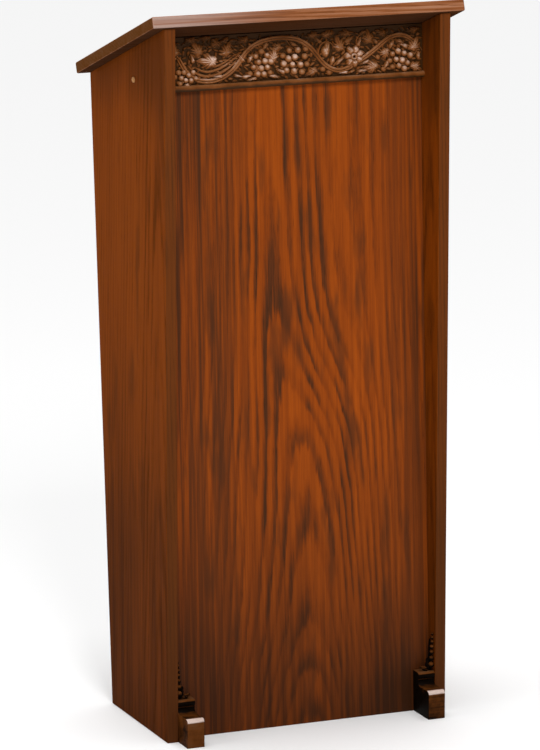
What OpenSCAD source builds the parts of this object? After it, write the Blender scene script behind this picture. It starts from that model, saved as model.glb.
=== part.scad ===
// Floor lectern in stained oak. Two side boards carry a sloping desk, a front panel
// leans back between them under a carved frieze, and two toe blocks steady the foot.
// Millimetres. +Z is up, +X is to the right as seen from the front, and the front
// faces -Y. The reader stands on the +Y side, where the desk is lowest.

/* [Body] */
// Width over the two side boards
body_w = 500; // [440:5:560]
// Thickness of the side boards and of the desk
board_t = 19; // [16:0.5:24]
// Depth of a side board on the floor
side_foot_d = 256; // [230:1:290]
// Depth of a side board under the desk
side_head_d = 338; // [310:1:345]

/* [Desk] */
// Height of the desk's high front edge above the floor
desk_high = 1200; // [1120:5:1260]
// Slope of the desk, down towards the reader, in degrees
desk_slope = 19; // [15:0.5:22]
// Length of the desk down its slope
desk_l = 372; // [360:1:400]
// How far the desk stands out past each side board
desk_side_over = 22; // [10:1:40]
// How far the desk's top edge stands out in front of the side boards
desk_front_over = 3; // [0:0.5:15]
// Height of the book ledge above the desk
ledge_h = 18; // [12:1:24]
// Thickness of the book ledge
ledge_t = 11; // [8:1:16]
// Distance from the ledge's end to the desk's end
ledge_inset = 55; // [50:1:90]
// Distance from the ledge's back face to the desk's low edge
ledge_back = 10; // [8:1:20]

/* [Panel] */
// Thickness of the front panel
panel_t = 16; // [12:1:20]
// Recess of the panel behind the side boards at the floor
panel_recess = 20; // [14:1:30]
// Lean of the panel, back towards the reader, in degrees
panel_lean = 2.8; // [0:0.1:4]
// Thickness of the carved frieze at its highest relief
frieze_t = 14; // [10:1:18]
// Height of the frieze's lower edge above the floor
frieze_z = 1065; // [1040:1:1090]
// Radius of the half-round bead along the frieze's lower edge
bead_r = 5; // [3:0.5:7]

/* [Foot] */
// Width of a toe block
toe_w = 30; // [24:1:40]
// How far a toe block stands out in front of the side boards
toe_reach = 40.5; // [30:0.5:60]
// Height of the toe's low front step
toe_h = 48; // [36:1:56]
// Height of the toe block's tall back step
toe_back_h = 70; // [62:1:90]
// Radius of the roll along the top of the back step
toe_roll_r = 6; // [4:0.5:8]
// Depth of the hollow under the roll
toe_hollow = 3; // [1:0.5:4]

/* [Inside] */
// Thickness of the shelf and of the bottom board
shelf_t = 16; // [12:1:20]
// Height of the shelf's top face above the floor
shelf_z = 636; // [500:1:760]
// Height of the bottom board's top face above the floor
bottom_z = 90; // [80:1:120]
// Distance from the back edge of a side board to the shelves
shelf_back = 22; // [15:1:60]
// Side of the square cleats under the shelves
cleat = 18; // [14:1:22]
// Height of the bearer that ties the side boards under the desk
bearer_h = 96; // [80:1:120]
// Distance from the front of the side boards to the bearer's middle
bearer_y = 137; // [125:1:160]
// Height of the rear apron
apron_h = 64; // [50:1:90]
// Side of a glue block
block_s = 18; // [14:1:20]
// Length of a glue block
block_l = 60; // [40:1:80]

/* [Fasteners] */
// Shank radius of the wood screws
screw_r = 2; // [1.5:0.25:2.5]
// Head radius of the wood screws
screw_head_r = 4; // [3.5:0.25:4.5]
// Radius of the wooden plug over a side screw
plug_r = 5; // [4.5:0.25:7]
// Depth of the wooden plug
plug_l = 5; // [3:0.5:7]
// Radius of the dowels in the rear rails
dowel_r = 4; // [3:0.5:5]
// Length of a dowel
dowel_l = 32; // [20:1:36]
// Gap around a screw, plug or dowel in its hole
hole_gap = 0.1; // [0.05:0.05:0.2]

/* [Hidden] */
$fn = 48;

// Colours of the stained oak and of the metal
oak = [0.42, 0.20, 0.09];
oak_dark = [0.33, 0.15, 0.07];
oak_inside = [0.38, 0.21, 0.11];
steel = [0.45, 0.45, 0.46];

// Everything is drawn from the front edges of the side boards, and then moved so that
// the middle of the whole object's floor area is the origin.
inner_w = body_w - 2 * board_t;
run = cos(desk_slope);
grade = tan(desk_slope);
lean_k = tan(panel_lean);
reach_back = desk_l * run - desk_front_over;
front_y = -(reach_back - toe_reach) / 2;
// Height of the desk's top plane and of its underside above the side boards' fronts
top_0 = desk_high - grade * desk_front_over;
under_0 = top_0 - board_t / run;
// Slope of a side board's back edge
back_k = (side_head_d - side_foot_d) / (under_0 - grade * side_head_d);
// Sections of the inside rails
rail_h = 26;
rail_t = 20;
bearer_t = 18;
apron_t = 16;
// Lengths of the fixings, and how far a pin's head stands in front of the panel
screw_l = 30;
bearer_screw_l = 46;
ledge_screw_l = 27;
toe_screw_l = 38;
head_l = 3;
sink = 6;
pin_r = 0.7;
pin_l = 18;
pin_stand = 4;
// Distance from a screw's head to the face that it is sunk in
head_depth = 1;

// Height of the desk's underside, depth of the back edge, and the panel's front face
function under(y) = under_0 - grade * y;
function back(z) = side_foot_d + back_k * z;
function face(z) = panel_recess + lean_k * z;
// Height at which a leaning face that starts at depth y on the floor meets the desk
function meet(y) = (under_0 - grade * y) / (1 + grade * lean_k);
// Depth of the panel's back face
function panel_back(z) = face(z) + panel_t / cos(panel_lean);

// Depths of the inside rails, and the height of the plugged side screws
rail_y = panel_back(meet(panel_recess)) + rail_t;
bearer_z = under(bearer_y) - 53;
apron_y = side_head_d - apron_t - 24;
apron_z = under(apron_y) - apron_h;
plinth_y = side_foot_d - apron_t - 8;
cleat_front = rail_y + 5;
cleat_stop = apron_y - 2;

// Draws a side view (depth, height) and makes it solid from x0 to x1
module across(x0, x1) {
    translate([x0, front_y, 0])
        rotate([90, 0, 90])
            linear_extrude(x1 - x0)
                children();
}

// Mirrors a left piece to the right
module on_side(side) {
    if (side < 0)
        children();
    else
        mirror([1, 0, 0])
            children();
}

// A leaning board section between two depths on the floor, cut under the desk
module lean_section(y0, y1, z0) {
    polygon([
        [y0 + lean_k * z0, z0],
        [y1 + lean_k * z0, z0],
        [y1 + lean_k * meet(y1), meet(y1)],
        [y0 + lean_k * meet(y0), meet(y0)]
    ]);
}

// A section that hangs under the desk between two depths, with its bottom level
module hung_section(y0, y1, z0) {
    polygon([[y0, z0], [y1, z0], [y1, under(y1)], [y0, under(y0)]]);
}

// A section of even height that follows the desk's underside
module slope_section(y0, y1, h) {
    polygon([
        [y0, under(y0) - h],
        [y1, under(y1) - h],
        [y1, under(y1)],
        [y0, under(y0)]
    ]);
}

// A countersunk screw whose head face is at the origin and whose point is up +Z. With
// a gap to grow by, it is the screw's hole, open towards the side it is driven from.
module screw(l, grow = 0) {
    cylinder(h = l, r = screw_r + grow);
    cylinder(h = head_l, r1 = screw_head_r + grow, r2 = screw_r + grow);
    if (grow > 0)
        translate([0, 0, -sink])
            cylinder(h = sink, r = screw_head_r + grow);
}

// Screws up through a strip under the desk: x, depth, and the strip's height
module desk_screw(x, y, h, grow = 0) {
    translate([x, front_y + y, under(y) - h])
        rotate([-desk_slope, 0, 0])
            translate([0, 0, 2 * head_depth])
                screw(screw_l, grow);
}

// Every screw and hole is drawn by the same module, with the gap added for a hole
module desk_screw_set(grow = 0) {
    for (x = [-1, 1] * (inner_w / 2 - cleat / 2))
        for (y = [160, 220, 280])
            desk_screw(x, y, cleat, grow);
    for (x = [-110, 110])
        desk_screw(x, rail_y - rail_t / 2, rail_h, grow);
}

module cleat_screw(x, y, z, grow = 0) {
    side = sign(x);
    translate([side * (inner_w / 2 - cleat + head_depth), front_y + y, z])
        rotate([0, side * 90, 0])
            screw(screw_l, grow);
}

module cleat_screw_set(grow = 0) {
    for (side = [-1, 1]) {
        for (y = [105, 235])
            cleat_screw(side, y, shelf_z - shelf_t - cleat / 2, grow);
        for (y = [75, 205])
            cleat_screw(side, y, bottom_z - shelf_t - cleat / 2, grow);
        for (y = [190, 250])
            cleat_screw(side, y, under(y) - cleat / 2, grow);
    }
}

module bearer_screw_set(grow = 0) {
    for (side = [-1, 1])
        translate([side * (body_w / 2 - plug_l - head_depth), front_y + bearer_y, bearer_z])
            rotate([0, -side * 90, 0])
                screw(bearer_screw_l, grow);
}

module side_plug_set(grow = 0) {
    for (side = [-1, 1])
        translate([side * (body_w / 2 - plug_l / 2), front_y + bearer_y, bearer_z])
            rotate([0, 90, 0])
                cylinder(h = plug_l + 2 * grow, r = plug_r + grow, center = true);
}

module ledge_screw_set(grow = 0) {
    for (x = [-160, 0, 160])
        at_desk()
            translate([x, desk_l - ledge_back - ledge_t / 2, 2 * head_depth - board_t])
                screw(ledge_screw_l, grow);
}

module frieze_pin_set(grow = 0) {
    for (x = [-200, -70, 70, 200])
        for (z = [frieze_z + 12, frieze_z + 66])
            translate([x, front_y + face(z) - pin_stand, z])
                rotate([-90 - panel_lean, 0, 0])
                    cylinder(h = pin_l, r = pin_r + grow, $fn = 16);
}

module toe_screw_set(grow = 0) {
    for (x = [-1, 1] * (inner_w / 2 - toe_w / 2))
        for (z = [18, 40])
            translate([x, front_y + panel_back(z) - head_depth, z])
                rotate([90 - panel_lean, 0, 0])
                    screw(toe_screw_l, grow);
}

module rail_dowel_set(grow = 0) {
    for (x = [-1, 1] * (inner_w / 2)) {
        for (z = [14, bottom_z - shelf_t - 16])
            translate([x, front_y + plinth_y + apron_t / 2, z])
                rotate([0, 90, 0])
                    cylinder(h = dowel_l + 2 * grow, r = dowel_r + grow, center = true);
        for (dz = [14, apron_h - 22])
            translate([x, front_y + apron_y + apron_t / 2, apron_z + dz])
                rotate([0, 90, 0])
                    cylinder(h = dowel_l + 2 * grow, r = dowel_r + grow, center = true);
    }
}

// The desk's own frame: Y runs down the slope from the high edge, Z stands on its top
module at_desk() {
    translate([0, front_y - desk_front_over, desk_high])
        rotate([-desk_slope, 0, 0])
            children();
}

module side_board_left() {
    color(oak_dark)
        difference() {
            across(-body_w / 2, -inner_w / 2)
                polygon([
                    [0, 0],
                    [side_foot_d, 0],
                    [side_head_d, under(side_head_d)],
                    [0, under_0]
                ]);
            cleat_screw_set(hole_gap);
            bearer_screw_set(hole_gap);
            side_plug_set(hole_gap);
            rail_dowel_set(hole_gap);
        }
}

module side_board_right() {
    on_side(1)
        side_board_left();
}

module front_panel() {
    color(oak)
        difference() {
            across(-inner_w / 2, inner_w / 2)
                lean_section(panel_recess, panel_recess + panel_t / cos(panel_lean), 0);
            frieze_pin_set(hole_gap);
            toe_screw_set(hole_gap);
        }
}

// The carving is cut from one board, with a half-round bead left along its lower edge
module carved_frieze() {
    color(oak_dark)
        difference() {
            across(-inner_w / 2, inner_w / 2)
                union() {
                    lean_section(
                        panel_recess - frieze_t / cos(panel_lean),
                        panel_recess,
                        frieze_z + bead_r
                    );
                    translate([face(frieze_z) - frieze_t + bead_r, frieze_z + bead_r])
                        circle(r = bead_r);
                    polygon([
                        [face(frieze_z) - frieze_t + bead_r, frieze_z],
                        [face(frieze_z), frieze_z],
                        [face(frieze_z + 2 * bead_r), frieze_z + 2 * bead_r],
                        [face(frieze_z) - frieze_t + bead_r, frieze_z + 2 * bead_r]
                    ]);
                }
            frieze_pin_set(hole_gap);
        }
}

module desk_board() {
    color(oak)
        difference() {
            at_desk()
                translate([-body_w / 2 - desk_side_over, 0, -board_t])
                    cube([body_w + 2 * desk_side_over, desk_l, board_t]);
            desk_screw_set(hole_gap);
            ledge_screw_set(hole_gap);
        }
}

// A strip with a rounded top that stops a book sliding off the desk
module book_ledge() {
    ledge_l = body_w + 2 * desk_side_over - 2 * ledge_inset;
    color(oak)
        difference() {
            at_desk()
                translate([-ledge_l / 2, desk_l - ledge_back - ledge_t, 0])
                    rotate([90, 0, 90])
                        linear_extrude(ledge_l)
                            union() {
                                square([ledge_t, ledge_h - ledge_t / 2]);
                                translate([ledge_t / 2, ledge_h - ledge_t / 2])
                                    circle(d = ledge_t);
                            }
            ledge_screw_set(hole_gap);
        }
}

module desk_cleat_left() {
    color(oak_inside)
        difference() {
            across(-inner_w / 2, -inner_w / 2 + cleat)
                slope_section(cleat_front, cleat_stop, cleat);
            desk_screw_set(hole_gap);
            cleat_screw_set(hole_gap);
        }
}

module desk_cleat_right() {
    on_side(1)
        desk_cleat_left();
}

// A strip in the corner behind the panel, whose front face leans with the panel
module head_rail() {
    rail_foot = under(rail_y) - rail_h;
    rail_top = meet(panel_recess + panel_t / cos(panel_lean));
    color(oak_inside)
        difference() {
            across(-inner_w / 2 + block_s, inner_w / 2 - block_s)
                polygon([
                    [panel_back(rail_foot), rail_foot],
                    [rail_y, rail_foot],
                    [rail_y, under(rail_y)],
                    [panel_back(rail_top), rail_top]
                ]);
            desk_screw_set(hole_gap);
        }
}

// A board on edge that ties the two sides, notched round the desk cleats
module desk_bearer() {
    color(oak_inside)
        difference() {
            across(-inner_w / 2, inner_w / 2)
                hung_section(
                    bearer_y - bearer_t / 2,
                    bearer_y + bearer_t / 2,
                    under(bearer_y) - bearer_h
                );
            for (side = [-1, 1])
                on_side(side)
                    across(-inner_w / 2 - 1, -inner_w / 2 + cleat)
                        slope_section(cleat_front, cleat_stop, cleat);
            bearer_screw_set(hole_gap);
        }
}

module rear_apron() {
    color(oak)
        difference() {
            across(-inner_w / 2, inner_w / 2)
                hung_section(apron_y, apron_y + apron_t, apron_z);
            rail_dowel_set(hole_gap);
        }
}

// A shelf board from the leaning panel to just inside the back edge
module shelf_section(z) {
    polygon([
        [panel_back(z - shelf_t), z - shelf_t],
        [back(z - shelf_t) - shelf_back, z - shelf_t],
        [back(z - shelf_t) - shelf_back, z],
        [panel_back(z), z]
    ]);
}

module shelf_board() {
    color(oak_inside)
        across(-inner_w / 2, inner_w / 2)
            shelf_section(shelf_z);
}

module bottom_board() {
    color(oak_inside)
        across(-inner_w / 2, inner_w / 2)
            shelf_section(bottom_z);
}

// A square cleat under a shelf, clear of the glue blocks at the panel
module shelf_cleat(z, y1) {
    color(oak_inside)
        difference() {
            across(-inner_w / 2, -inner_w / 2 + cleat)
                translate([panel_back(z) + 2, z - shelf_t - cleat])
                    square([y1 - panel_back(z) - 2, cleat]);
            cleat_screw_set(hole_gap);
        }
}

module shelf_cleat_left() {
    shelf_cleat(shelf_z, back(shelf_z) - shelf_back - 14);
}

module shelf_cleat_right() {
    on_side(1)
        shelf_cleat_left();
}

module bottom_cleat_left() {
    shelf_cleat(bottom_z, plinth_y - 1);
}

module bottom_cleat_right() {
    on_side(1)
        bottom_cleat_left();
}

module rear_plinth() {
    color(oak)
        difference() {
            across(-inner_w / 2, inner_w / 2)
                translate([plinth_y, 0])
                    square([apron_t, bottom_z - shelf_t]);
            rail_dowel_set(hole_gap);
        }
}

// A stepped toe: a low front step, a hollow, and a rolled top to the tall back step
module toe_block_left() {
    roll_z = toe_back_h - toe_roll_r;
    hollow_z = (toe_h + roll_z) / 2;
    color(oak_dark)
        difference() {
            across(-inner_w / 2, -inner_w / 2 + toe_w)
                difference() {
                    union() {
                        polygon([
                            [-toe_reach, 0],
                            [face(0), 0],
                            [face(toe_h), toe_h],
                            [-toe_reach, toe_h]
                        ]);
                        polygon([
                            [0, toe_h - 1],
                            [face(toe_h - 1), toe_h - 1],
                            [face(toe_back_h), toe_back_h],
                            [toe_roll_r, toe_back_h],
                            [0, roll_z]
                        ]);
                        translate([toe_roll_r, roll_z])
                            circle(r = toe_roll_r);
                    }
                    translate([0, hollow_z])
                        circle(r = toe_hollow);
                }
            toe_screw_set(hole_gap);
        }
}

module toe_block_right() {
    on_side(1)
        toe_block_left();
}

// Short blocks glued in the corner between the panel and a side board
module glue_blocks_left() {
    color(oak_inside)
        for (z = [115, 300, 500, 660, 840, 1020])
            across(-inner_w / 2, -inner_w / 2 + block_s)
                polygon([
                    [panel_back(z), z],
                    [panel_back(z) + block_s, z],
                    [panel_back(z + block_l) + block_s, z + block_l],
                    [panel_back(z + block_l), z + block_l]
                ]);
}

module glue_blocks_right() {
    on_side(1)
        glue_blocks_left();
}

module desk_screws() {
    color(steel)
        desk_screw_set();
}

module cleat_screws() {
    color(steel)
        cleat_screw_set();
}

module bearer_screws() {
    color(steel)
        bearer_screw_set();
}

module side_plugs() {
    color(oak)
        side_plug_set();
}

module ledge_screws() {
    color(steel)
        ledge_screw_set();
}

module frieze_pins() {
    color(steel)
        frieze_pin_set();
}

module toe_screws() {
    color(steel)
        toe_screw_set();
}

module rail_dowels() {
    color(oak_inside)
        rail_dowel_set();
}

side_board_left();
side_board_right();
front_panel();
carved_frieze();
desk_board();
book_ledge();
desk_cleat_left();
desk_cleat_right();
head_rail();
desk_bearer();
rear_apron();
shelf_board();
shelf_cleat_left();
shelf_cleat_right();
bottom_board();
bottom_cleat_left();
bottom_cleat_right();
rear_plinth();
toe_block_left();
toe_block_right();
glue_blocks_left();
glue_blocks_right();
desk_screws();
cleat_screws();
bearer_screws();
side_plugs();
ledge_screws();
frieze_pins();
toe_screws();
rail_dowels();
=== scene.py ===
# %% [markdown]
# # A carved oak lectern
#
# The lectern is a tall box of oak boards. Two sides stand on the floor, a sloping desk
# lies on them, and a wide panel leans back between them below a carved vine. All sizes
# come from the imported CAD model, so this file only makes the boards and the carving
# look like oak, and puts a camera and lights round them.

import math
import random

import bmesh
import bpy
from mathutils import Matrix, Vector


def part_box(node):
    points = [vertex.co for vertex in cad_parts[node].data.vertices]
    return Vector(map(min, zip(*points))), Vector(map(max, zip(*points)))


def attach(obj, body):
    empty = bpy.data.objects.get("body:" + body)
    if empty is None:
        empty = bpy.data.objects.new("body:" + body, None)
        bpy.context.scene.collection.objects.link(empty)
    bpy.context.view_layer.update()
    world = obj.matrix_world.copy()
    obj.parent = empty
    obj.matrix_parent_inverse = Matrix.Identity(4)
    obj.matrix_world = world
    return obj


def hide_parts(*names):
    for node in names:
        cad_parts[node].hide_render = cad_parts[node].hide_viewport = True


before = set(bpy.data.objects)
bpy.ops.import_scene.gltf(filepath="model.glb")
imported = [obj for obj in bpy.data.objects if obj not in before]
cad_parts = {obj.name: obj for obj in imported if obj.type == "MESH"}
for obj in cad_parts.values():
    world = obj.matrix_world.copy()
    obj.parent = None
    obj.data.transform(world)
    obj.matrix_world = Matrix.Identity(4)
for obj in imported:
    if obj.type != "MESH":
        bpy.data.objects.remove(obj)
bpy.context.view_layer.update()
random.seed(7)
MM = 0.001

# %% [markdown]
# ## The camera
#
# The camera looks down a little and from the left, so that the outside of the left side
# board shows beside the front. It stands far off with a long lens, which keeps the
# uprights almost parallel. It could be placed by hand, but here it is worked out from
# the point it looks at, two angles and a distance, which are easier to change.

# %% Camera
AIM = Vector((-0.060, -0.134, 0.598))
VIEW_YAW = math.radians(22.7)
VIEW_PITCH = math.radians(12.3)
VIEW_DISTANCE = 7.643
LENS_MM = 225.1


def deselect():
    """An operator acts on all that is selected, so each step starts with nothing."""
    bpy.ops.object.select_all(action="DESELECT")


forward = Vector((
    math.sin(VIEW_YAW) * math.cos(VIEW_PITCH),
    math.cos(VIEW_YAW) * math.cos(VIEW_PITCH),
    -math.sin(VIEW_PITCH),
))
deselect()
bpy.ops.object.camera_add(location=AIM - forward * VIEW_DISTANCE)
camera = bpy.context.object
camera.name = "camera"
camera.rotation_euler = (math.pi / 2 - VIEW_PITCH, 0, -VIEW_YAW)
camera.data.lens = LENS_MM
camera.data.clip_end = 100
bpy.context.scene.camera = camera
print("camera stands at", tuple(round(v, 3) for v in camera.location))

# %% [markdown]
# ## The studio
#
# A pale floor runs far behind the lectern, so that it fills the view as a paper
# sweep does. A broad sun straight overhead keeps all of that floor bright, and only
# grazes the upright boards. The boards get their light from a lamp that hangs high in
# front. It catches the desk's front edge, throws the desk's shadow on the carving, and
# falls off towards the foot. A second lamp far to the left lights the side board.

# %% Floor, lamps and sky
scene = bpy.context.scene
scene.view_settings.view_transform = "Standard"

bpy.ops.mesh.primitive_plane_add(size=80, location=(0, 0, 0))
floor = bpy.context.object
floor.name = "floor"
floor_paint = bpy.data.materials.new("floor_paint")
floor_paint.use_nodes = True
floor_shader = floor_paint.node_tree.nodes["Principled BSDF"]
floor_shader.inputs["Base Color"].default_value = (0.90, 0.90, 0.90, 1)
floor_shader.inputs["Roughness"].default_value = 1.0
floor_shader.inputs["Specular IOR Level"].default_value = 0.0
floor.data.materials.append(floor_paint)


def soft_lamp(name, place, aim, size, power):
    """A square area lamp that points from its place at a spot on the lectern."""
    bpy.ops.object.light_add(type="AREA", location=place)
    lamp = bpy.context.object
    lamp.name = name
    lamp.data.size = size
    lamp.data.energy = power
    lamp.rotation_euler = (Vector(aim) - Vector(place)).to_track_quat("-Z", "Y").to_euler()
    return lamp


soft_lamp("key_lamp", (-0.6, -2.8, 3.0), (0, 0, 0.8), 1.0, 67)
soft_lamp("side_lamp", (-3.4, -0.5, 1.9), (-0.2, 0, 0.8), 1.4, 18.5)
bpy.ops.object.light_add(type="SUN", location=(0, 0, 4))
overhead = bpy.context.object
overhead.name = "overhead_sun"
overhead.data.energy = 2.8
overhead.data.angle = math.radians(50)
overhead.rotation_euler = (math.radians(-6), 0, 0)

sky = bpy.data.worlds.new("studio_sky")
sky.use_nodes = True
sky.node_tree.nodes["Background"].inputs["Color"].default_value = (1, 1, 1, 1)
sky.node_tree.nodes["Background"].inputs["Strength"].default_value = 0.12
scene.world = sky

# %% [markdown]
# ## Writing a material as a recipe
#
# Oak needs a long chain of small sums: where the growth rings fall, how the pores lie,
# where the stain has darkened. Wiring each node by hand would hide the idea, so this
# small helper adds a node and gives back its output, and the recipes below read almost
# like the sums themselves.

# %% Recipe helper
class Recipe:
    """Adds nodes to one new material and links them as they are named."""

    def __init__(self, name):
        self.material = bpy.data.materials.new(name)
        self.material.use_nodes = True
        self.nodes = self.material.node_tree.nodes
        self.links = self.material.node_tree.links
        self.shader = self.nodes["Principled BSDF"]

    def feed(self, socket, value):
        if isinstance(value, bpy.types.NodeSocket):
            self.links.new(value, socket)
        else:
            socket.default_value = value

    def math(self, operation, a, b=0.0, clamp=False):
        node = self.nodes.new("ShaderNodeMath")
        node.operation = operation
        node.use_clamp = clamp
        self.feed(node.inputs[0], a)
        self.feed(node.inputs[1], b)
        return node.outputs[0]

    def total(self, *values):
        result = values[0]
        for value in values[1:]:
            result = self.math("ADD", result, value)
        return result

    def times(self, a, b):
        return self.math("MULTIPLY", a, b)

    def around(self, value, amount):
        """A 0 to 1 value, centred on nothing and scaled."""
        return self.math("MULTIPLY", self.math("SUBTRACT", value, 0.5), amount)

    def places(self, turn=(0, 0, 0)):
        """Object coordinates, turned so that the grain runs along Z."""
        coordinates = self.nodes.new("ShaderNodeTexCoord")
        mapping = self.nodes.new("ShaderNodeMapping")
        self.links.new(coordinates.outputs["Object"], mapping.inputs["Vector"])
        mapping.inputs["Rotation"].default_value = turn
        return mapping.outputs["Vector"]

    def noise(self, vector, scale, detail, roughness=0.5):
        mapping = self.nodes.new("ShaderNodeMapping")
        self.links.new(vector, mapping.inputs["Vector"])
        mapping.inputs["Scale"].default_value = scale
        node = self.nodes.new("ShaderNodeTexNoise")
        self.links.new(mapping.outputs["Vector"], node.inputs["Vector"])
        node.inputs["Scale"].default_value = 1.0
        node.inputs["Detail"].default_value = detail
        node.inputs["Roughness"].default_value = roughness
        return node.outputs["Fac"]

    def split(self, vector):
        node = self.nodes.new("ShaderNodeSeparateXYZ")
        self.links.new(vector, node.inputs[0])
        return node.outputs

    def fade(self, value, low, high, start=0.0, end=1.0):
        """Goes smoothly from start to end as the value goes from low to high."""
        node = self.nodes.new("ShaderNodeMapRange")
        node.interpolation_type = "SMOOTHSTEP"
        self.feed(node.inputs["Value"], value)
        node.inputs["From Min"].default_value = low
        node.inputs["From Max"].default_value = high
        node.inputs["To Min"].default_value = start
        node.inputs["To Max"].default_value = end
        return node.outputs[0]

    def drawn(self, value, points):
        """Follows a curve drawn through points, from 0 to 1 both ways."""
        node = self.nodes.new("ShaderNodeFloatCurve")
        self.feed(node.inputs["Value"], value)
        line = node.mapping.curves[0].points
        line[0].location = points[0]
        line[1].location = points[-1]
        for point in points[1:-1]:
            line.new(*point)
        node.mapping.update()
        return node.outputs[0]

    def ramp(self, value, *stops):
        node = self.nodes.new("ShaderNodeValToRGB")
        self.feed(node.inputs[0], value)
        stripes = node.color_ramp.elements
        while len(stripes) < len(stops):
            stripes.new(0.5)
        for stripe, (place, colour) in zip(stripes, stops):
            stripe.position = place
            stripe.color = (*colour, 1)
        return node.outputs["Color"]

    def mix(self, factor, a, b):
        node = self.nodes.new("ShaderNodeMix")
        node.data_type = "RGBA"
        self.feed(node.inputs[0], factor)
        for socket, value in ((node.inputs[6], a), (node.inputs[7], b)):
            self.feed(socket, value if isinstance(value, bpy.types.NodeSocket) else (*value, 1))
        return node.outputs[2]

    def attribute(self, name):
        node = self.nodes.new("ShaderNodeAttribute")
        node.attribute_name = name
        return node.outputs["Fac"]

    def facing(self, axis):
        """The surface's normal along one axis, from -1 to 1."""
        geometry = self.nodes.new("ShaderNodeNewGeometry")
        return self.split(geometry.outputs["Normal"])[axis]

    def bump(self, height, distance, strength):
        node = self.nodes.new("ShaderNodeBump")
        self.links.new(height, node.inputs["Height"])
        node.inputs["Distance"].default_value = distance
        node.inputs["Strength"].default_value = strength
        return node.outputs["Normal"]


print("recipe helper ready")

# %% [markdown]
# ## Oak
#
# A board is a slice of a tree. Where the saw runs past the heart, the growth rings come
# out as tall pointed arches, and towards the edges they crowd into straight lines. A
# wave texture can't do that, so the ring number is worked out for every point: it grows
# slowly up the board, faster away from the arches' middle line, and fastest through the
# thickness, which also draws the right lines on edges and end grain. Each ring starts
# with a band of open pores that takes the stain dark, and fades to dense pale wood.
#
# The recipe always thinks of grain along Z and of a face across X. The turns below
# bring each kind of board round to that, with the lean of the panel and the slope of
# the desk taken out first.

# %% Turns that bring the grain upright
LEAN = math.radians(2.8)
SLOPE = math.radians(19)
QUARTER = math.pi / 2
GRAIN = {
    "panel": (LEAN, 0, 0),
    "side": (0, 0, QUARTER),
    "desk": (SLOPE - QUARTER, -QUARTER, 0),
    "shelf": (-QUARTER, -QUARTER, 0),
    "rail": (0, -QUARTER, 0),
    "frieze": (LEAN, -QUARTER, 0),
    "cleat": (QUARTER, 0, 0),
    "desk_cleat": (QUARTER + SLOPE, 0, 0),
}
print("grain turns for", sorted(GRAIN))

# %% Where the panel's arches stand
PANEL_TALL = 1.2
PANEL_SWAY = 0.2
PANEL_RINGS = 8
# Height up the board and the sideways place of the arches' middle line, in metres
SWAY_LINE = [
    (0.0, 0.014), (0.075, 0.016), (0.157, 0.018), (0.29, 0.018), (0.45, 0.008),
    (0.545, -0.010), (0.66, -0.034), (0.84, -0.042), (1.2, -0.044),
]
# Height up the board and the number of rings passed on the middle line
RING_LINE = [
    (0.0, 0.10), (0.075, 1.0), (0.157, 2.0), (0.29, 3.0), (0.45, 4.0), (0.545, 5.0),
    (0.661, 6.0), (0.72, 6.35), (1.06, 6.9), (1.2, 7.2),
]
print("arches on the panel:", PANEL_RINGS - 1)

# %% The scales of oak
# How fast each noise changes per metre: across the grain, through the board and along it
BOARD_WARP = (8, 8, 1.3)
RING_WAVER = (45, 45, 5)
RING_TREMBLE = (260, 260, 20)
RING_PATCH = (34, 34, 5.0)
FIBRE = (380, 380, 7)
STREAK = (110, 110, 1.6)
CLOUD = (6, 6, 2.0)
PORE = (1150, 1150, 38)
SMUDGE = (30, 30, 5.5)
RINGS_THROUGH = 150
GRAIN_AXIS = {"panel": 2, "side": 2, "desk": 0, "shelf": 0, "rail": 0, "cleat": 1, "desk_cleat": 1}
print("fibres per metre across the grain:", FIBRE[0])

# %% The oak recipe
# The tone of plain wood on the ramp, and how far from the panel's middle its unshaded part is
PLAIN_TONE = 0.63
UNSHADED_MIDDLE = 0.037


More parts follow.
